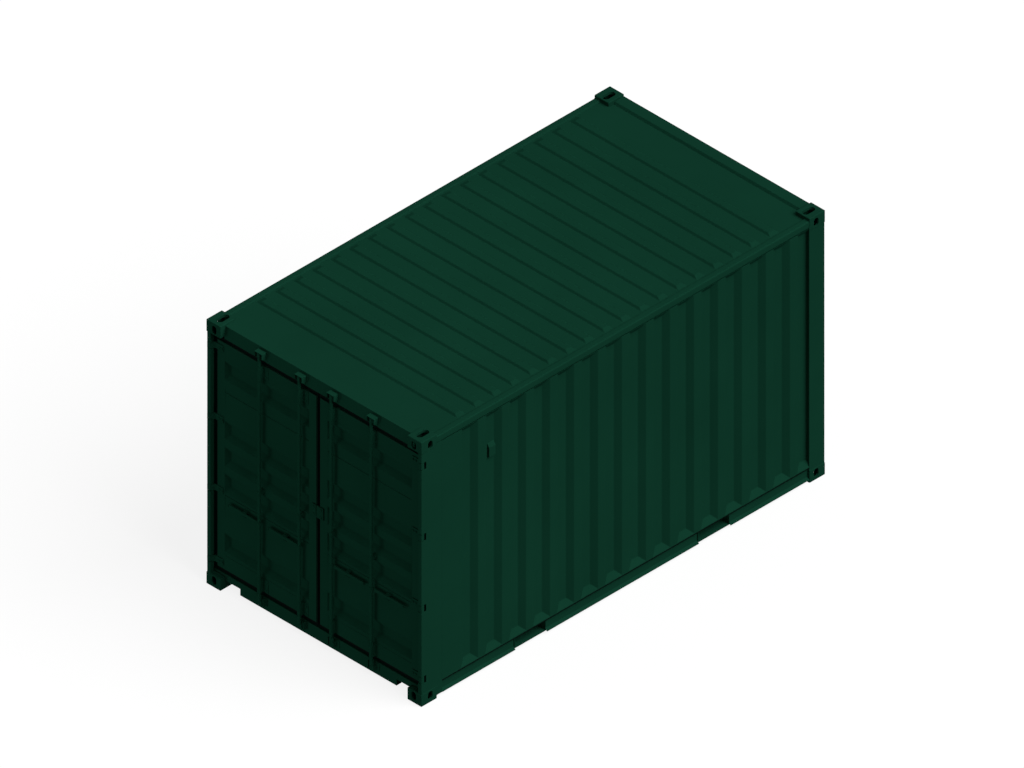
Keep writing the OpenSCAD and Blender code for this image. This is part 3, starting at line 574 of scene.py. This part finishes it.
def door_sheet(node):
    """The pressed sheet of a door. Its narrow seams and the ends of its troughs keep their sharp edges."""
    low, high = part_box(node)
    points = [point.co for point in frame["nodes"][node].data.vertices]
    seams = [spot.z for spot in points if SEAM_DEPTH[0] < spot.x - low.x < SEAM_DEPTH[1]]

    def kept_sharp(spot):
        at_end = min(spot.y - low.y, high.y - spot.y) < TROUGH_END
        return at_end or min(abs(spot.z - seam) for seam in seams) < SEAM_MARGIN

    bent_sheet(node, (-1, 0, 0), DOOR_BEND, whole_faces=False, kept_sharp=kept_sharp)


def rounded_plate(node, width):
    piece = copy_of(node, whole_faces=not node.endswith(OPEN_FACED))
    round_edges(piece, width)
    shade(piece)
    stand_for(piece, node)


def top_rail(node):
    """Square tube with a wide radius along its four outer edges."""
    piece = copy_of(node)
    low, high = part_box(node)
    edit(piece)
    for y in (low.y, high.y):
        for z in (low.z, high.z):
            select_points(piece, lambda spot: max(abs(spot.y - y), abs(spot.z - z)) < SAME_PLACE)
            bpy.ops.mesh.bevel(offset=RAIL_EDGE, segments=BEND_SEGMENTS, affect="EDGES", clamp_overlap=True)
    leave_edit()
    shade(piece)
    stand_for(piece, node)


# Corner castings

def oblong_cutter(centre, size, depth, turn):
    """Prism with half-round ends. Unturned, it is long along X and goes through Z."""
    long, wide = size
    bpy.ops.mesh.primitive_cylinder_add(vertices=HOLE_SIDES, radius=wide / 2, depth=depth,
                                        rotation=(0, 0, math.pi / HOLE_SIDES))
    cutter = settled("cutter")
    edit(cutter)
    for end in (-1, 1):
        select_points(cutter, lambda spot: spot.x * end > 0 and abs(spot.x) < wide)
        bpy.ops.transform.translate(value=(end * (long - wide) / 2, 0, 0))
    leave_edit()
    cutter.location, cutter.rotation_euler = centre, turn
    return settled("cutter")


def corner_castings(node, up):
    """Four hollow castings, their lock slots below or above, modelled at one corner and mirrored."""
    corner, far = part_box(node)
    base = corner.z if up > 0 else far.z
    depth = 3 * CASTING_PLATE
    size = Vector((CASTING_LENGTH, CASTING_WIDTH, far.z - corner.z))

    def place(x, y, z):
        return Vector((corner.x + x, corner.y + y, base + up * z))

    def box_between(name, a, b):
        return block(name, [min(pair) for pair in zip(a, b)], [max(pair) for pair in zip(a, b)])

    piece = box_between(node + "_dressed", place(0, 0, 0), place(*size))
    round_edges(piece, CASTING_EDGE, 3)
    cut_out(piece, box_between("cutter", place(CASTING_WALL, CASTING_WALL, CASTING_PLATE),
                               place(*(size - Vector((CASTING_BACK,) * 3)))))
    middle = (CASTING_PLATE + size.z - CASTING_BACK) / 2
    upright = -math.pi / 2
    cut_out(piece, oblong_cutter(place(SLOT_FROM_END, SLOT_FROM_SIDE, 0), SLOT_SIZE, depth, (0, 0, 0)))
    cut_out(piece, oblong_cutter(place(0, SLOT_FROM_SIDE, middle), HOLE_SIZE, depth, (0, upright, 0)))
    cut_out(piece, oblong_cutter(place(SLOT_FROM_END, 0, middle), HOLE_SIZE, depth, (0, upright, -upright)))
    round_edges(piece, HOLE_EDGE, 2, sharper_than=50)
    modify(piece, "MIRROR", use_axis=(True, True, False), use_mirror_merge=False)
    shade(piece)
    stand_for(piece, node)


# Small pieces

def door_seal(node):
    """Gasket with two lips round a door: a groove along its outer edge."""
    low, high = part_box(node)
    piece = copy_of(node, whole_faces=False)
    edit(piece)

    def on_rim(centre, normal):
        away = max(abs(centre.y - (low.y + high.y) / 2) - (high.y - low.y) / 2,
                   abs(centre.z - (low.z + high.z) / 2) - (high.z - low.z) / 2)
        return abs(normal.x) < 0.1 and away > -SEAL_RIM

    select_faces(piece, on_rim)
    bpy.ops.mesh.inset(thickness=SEAL_LIP, depth=-SEAL_GROOVE, use_boundary=True, use_even_offset=True)
    leave_edit()
    round_edges(piece, SEAL_EDGE)
    shade(piece)
    stand_for(piece, node)


def seal_lip(side):
    """Outer lip of a door seal, which laps over the edge of the door's face."""
    low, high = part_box(side + "_door_frame")
    inset = Vector((0, LIP_WIDTH, LIP_WIDTH))
    proud = Vector((LIP_PROUD, 0, 0))
    face_high = Vector((low.x, high.y, high.z))
    piece = block(side + "_seal_lip", low - proud, face_high)
    cut_out(piece, block("cutter", low - 2 * proud + inset, face_high + 2 * proud - inset))
    round_edges(piece, LIP_EDGE, 1)
    shade(piece)
    hang(piece, "seal_rubber", side + "_door")


def hex_bolt():
    """Hexagon head on a washer at the origin, facing the front of the doors."""
    top = -BOLT_WASHER - BOLT_HEAD
    parts = [rod("washer", (0, 0, 0), (-BOLT_WASHER, 0, 0), WASHER_RADIUS, 16),
             rod("head", (-BOLT_WASHER, 0, 0), (top, 0, 0), BOLT_ACROSS / math.sqrt(3), 6)]
    pattern = join(parts, "bolt")
    round_edges(pattern, BOLT_EDGE, 1)
    return pattern


def dome_rivet():
    """Round rivet head at the origin, facing the front of the doors."""
    bpy.ops.mesh.primitive_uv_sphere_add(segments=12, ring_count=8, radius=RIVET_RADIUS,
                                         rotation=(0, math.pi / 2, 0))
    bpy.context.object.scale = (1, 1, RIVET_HEIGHT / RIVET_RADIUS)
    return settled("rivet")


def bar_axis(side, sign, place):
    """Where the axis of a locking bar lies, along X and Y."""
    low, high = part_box(side + "_" + place + "_bar")
    return low.x + BAR_AXIS_INSET, low.y + BAR_AXIS_INSET if sign > 0 else high.y - BAR_AXIS_INSET


def door_fasteners(side, sign):
    """Bolts of the hinge blades, bar bearings and cover plate, and rivets of the handle catches."""
    frame_low, frame_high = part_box(side + "_door_frame")
    hinge_low, hinge_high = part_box(side + "_door_hinges")
    panel_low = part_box(side + "_door_panel")[0]
    cover_low, cover_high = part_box(side + "_cover_plate")
    outer_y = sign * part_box("top_corner_castings")[1].y
    first, last = hinge_low.z + HINGE_HALF_HEIGHT, hinge_high.z - HINGE_HALF_HEIGHT
    bolts, rivets = [], []
    for i in range(HINGE_COUNT):
        middle = first + (last - first) * i / (HINGE_COUNT - 1)
        for inset in HINGE_BOLTS_FROM_SIDE:
            bolts.append((frame_low.x - HINGE_BLADE, outer_y - sign * inset, middle))
    for place in ("inner", "outer"):
        bar_y = bar_axis(side, sign, place)[1]
        handle_low, handle_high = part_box(side + "_" + place + "_handle")
        catch_y, catch_z = bar_y + sign * CATCH_ASIDE, (handle_low.z + handle_high.z) / 2
        for middle in (frame_low.z + BEARING_FROM_END, frame_high.z - BEARING_FROM_END):
            for rise in (-BEARING_BOLT_RISE, BEARING_BOLT_RISE):
                bolts.append((frame_low.x - BEARING_PLATE, bar_y - sign * BEARING_BOLT_ASIDE, middle + rise))
        for shift in (-CATCH_RIVET_ASIDE, CATCH_RIVET_ASIDE):
            for rise in (-CATCH_RIVET_RISE, CATCH_RIVET_RISE):
                rivets.append((panel_low.x - CATCH_PLATE, catch_y + shift, catch_z + rise))
    for rise in (-COVER_BOLT_RISE, COVER_BOLT_RISE):
        bolts.append((cover_low.x, sign * COVER_BOLT_ASIDE, (cover_low.z + cover_high.z) / 2 + rise))
    for pattern, spots, name in ((hex_bolt(), bolts, "_door_bolts"), (dome_rivet(), rivets, "_catch_rivets")):
        piece = copies_at(pattern, spots, side + name)
        shade(piece)
        hang(piece, "fitting_paint", side + "_door")


def bar_rings(side, sign, place):
    """Rings that keep a bar from sliding up or down in its bearings."""
    bar = side + "_" + place
    frame_low, frame_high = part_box(side + "_door_frame")
    axis_x, axis_y = bar_axis(side, sign, place)
    bpy.ops.mesh.primitive_cylinder_add(vertices=32, radius=RING_RADIUS, depth=RING_HEIGHT,
                                        end_fill_type="NOTHING")
    ring = settled("ring")
    modify(ring, "SOLIDIFY", thickness=RING_WALL, offset=1.0)
    round_edges(ring, RING_EDGE, 1, sharper_than=50)
    spots = [(axis_x, axis_y, z) for z in (frame_low.z + RING_FROM_END, frame_high.z - RING_FROM_END)]
    piece = copies_at(ring, spots, bar + "_rings")
    shade(piece)
    hang(piece, "bar_paint", bar + "_lock")


def frame_welds():
    """Weld runs where posts, rails and header meet the castings, round the walls and along the roof."""
    door_post_low, front_post_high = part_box("left_door_post")[0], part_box("left_front_post")[1]
    rail_low, rail_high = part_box("left_top_rail")
    wall_low, wall_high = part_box("left_side_wall")
    front_low, front_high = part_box("front_wall")
    header_low, header_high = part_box("door_header")
    lower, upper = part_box("bottom_corner_castings")[1].z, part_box("top_corner_castings")[0].z
    roof_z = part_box("roof_panel")[0].z + SKIN
    face, inner = rail_high.y, rail_low.y
    beads = []

    def weld(start, end, radius):
        beads.append(rod("weld_run", start, end, radius, WELD_SIDES))

    def upright_weld(x, y, bottom, top, radius):
        weld((x, y, bottom), (x, y, top + WELD_OVERRUN), radius)

    for z in (lower, upper):
        weld((door_post_low.x + SHORT_OF_DOOR_EDGE, face, z), (rail_low.x, face, z), PLATE_WELD)
        weld((rail_high.x, face, z), (front_post_high.x - SHORT_OF_FRONT_EDGE, face, z), PLATE_WELD)
    for x in (rail_low.x, rail_high.x):
        weld((x, face, rail_low.z), (x, face, rail_high.z - SHORT_OF_RAIL_EDGE), PLATE_WELD)
        weld((x, face - SHORT_OF_RAIL_EDGE, rail_high.z), (x, inner, rail_high.z), PLATE_WELD)
    weld((rail_low.x, inner, roof_z), (rail_high.x, inner, roof_z), ROOF_WELD)
    weld((header_low.x + SHORT_OF_HEADER_FACE, header_high.y, header_high.z),
         (rail_low.x, header_high.y, header_high.z), PLATE_WELD)
    upright_weld(wall_low.x, face - WELD_SUNK, wall_low.z, wall_high.z, DOOR_POST_WELD)
    upright_weld(wall_high.x + WELD_SUNK, face - WELD_SUNK, wall_low.z, wall_high.z, FRONT_POST_WELD)
    upright_weld(front_high.x - WELD_SUNK, front_high.y, front_low.z, front_high.z, FRONT_WALL_WELD)
    piece = join(beads, "frame_welds")
    modify(piece, "MIRROR", use_axis=(False, True, False), use_mirror_merge=False)
    shade(piece)
    hang(piece, "body_paint", "container")


def sealant_and_gap_shade(side):
    """Sealant strip along the lower edge of a side wall, in rubber black as painted shade for the shadow line
    of the gap under the wall's edge.
    """
    low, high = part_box(side + "_side_wall")
    face = high.y if side == "left" else low.y
    # Painted shadow: a black strip where the wall's lower edge throws a thin shadow line
    piece = block(side + "_sealant_and_gap_shade", (low.x, face - DARK_STRIP_HALF, low.z - DARK_STRIP_BELOW),
                  (high.x, face + DARK_STRIP_HALF, low.z + DARK_STRIP_ABOVE))
    round_edges(piece, DARK_STRIP_EDGE)
    shade(piece)
    hang(piece, "seal_rubber", "container")


def floor_screws():
    """Countersunk screws that hold the plywood to the cross members."""
    low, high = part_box("floor_boards")
    points = frame["nodes"]["cross_members"].data.vertices
    edges = sorted({round(point.co.x, 4) for point in points})
    # Each cross member is a channel with three X values
    lines = [x + SCREW_FROM_EDGE for x in edges[::3]]
    pattern = rod("screw", (0, 0, -SCREW_SUNK), (0, 0, SCREW_PROUD), SCREW_RADIUS, 10)
    spots = [(x, low.y + (high.y - low.y) * share, high.z) for x in lines for share in SCREW_SHARES]
    piece = copies_at(pattern, spots, "floor_screws")
    shade(piece)
    hang(piece, "pin_steel", "container")


# The stage and the dressed container

add_camera()
add_sky()
add_sun("key_sun", SUN_LEVEL, SUN_FROM, SUN_SOFTNESS)
add_sun("door_sun", DOOR_LEVEL, DOOR_FROM, DOOR_SOFTNESS)
add_floor()
for node, solid in frame["nodes"].items():
    coat(solid, SLOT_OF[node])

corrugated_wall("right_side_wall", (0, -1, 0))
corrugated_wall("left_side_wall", (0, 1, 0))
corrugated_wall("front_wall", (1, 0, 0))
bent_sheet("roof_panel", (0, 0, 1), ROOF_BEND, whole_faces=False)
corner_castings("bottom_corner_castings", 1)
corner_castings("top_corner_castings", -1)
for side, sign in (("left", 1), ("right", -1)):
    door_sheet(side + "_door_panel")
    door_seal(side + "_door_seal")
    seal_lip(side)
    top_rail(side + "_top_rail")
    door_fasteners(side, sign)
    sealant_and_gap_shade(side)
    for place in ("inner", "outer"):
        bar_rings(side, sign, place)
frame_welds()
floor_screws()

for node, slot in SLOT_OF.items():
    if slot in PLATE_SLOTS and "top_rail" not in node:
        rounded_plate(node, PLATE_EDGE)
    if slot in FITTING_SLOTS:
        rounded_plate(node, FORGED_EDGE)

bpy.context.scene.view_settings.view_transform = "Standard"
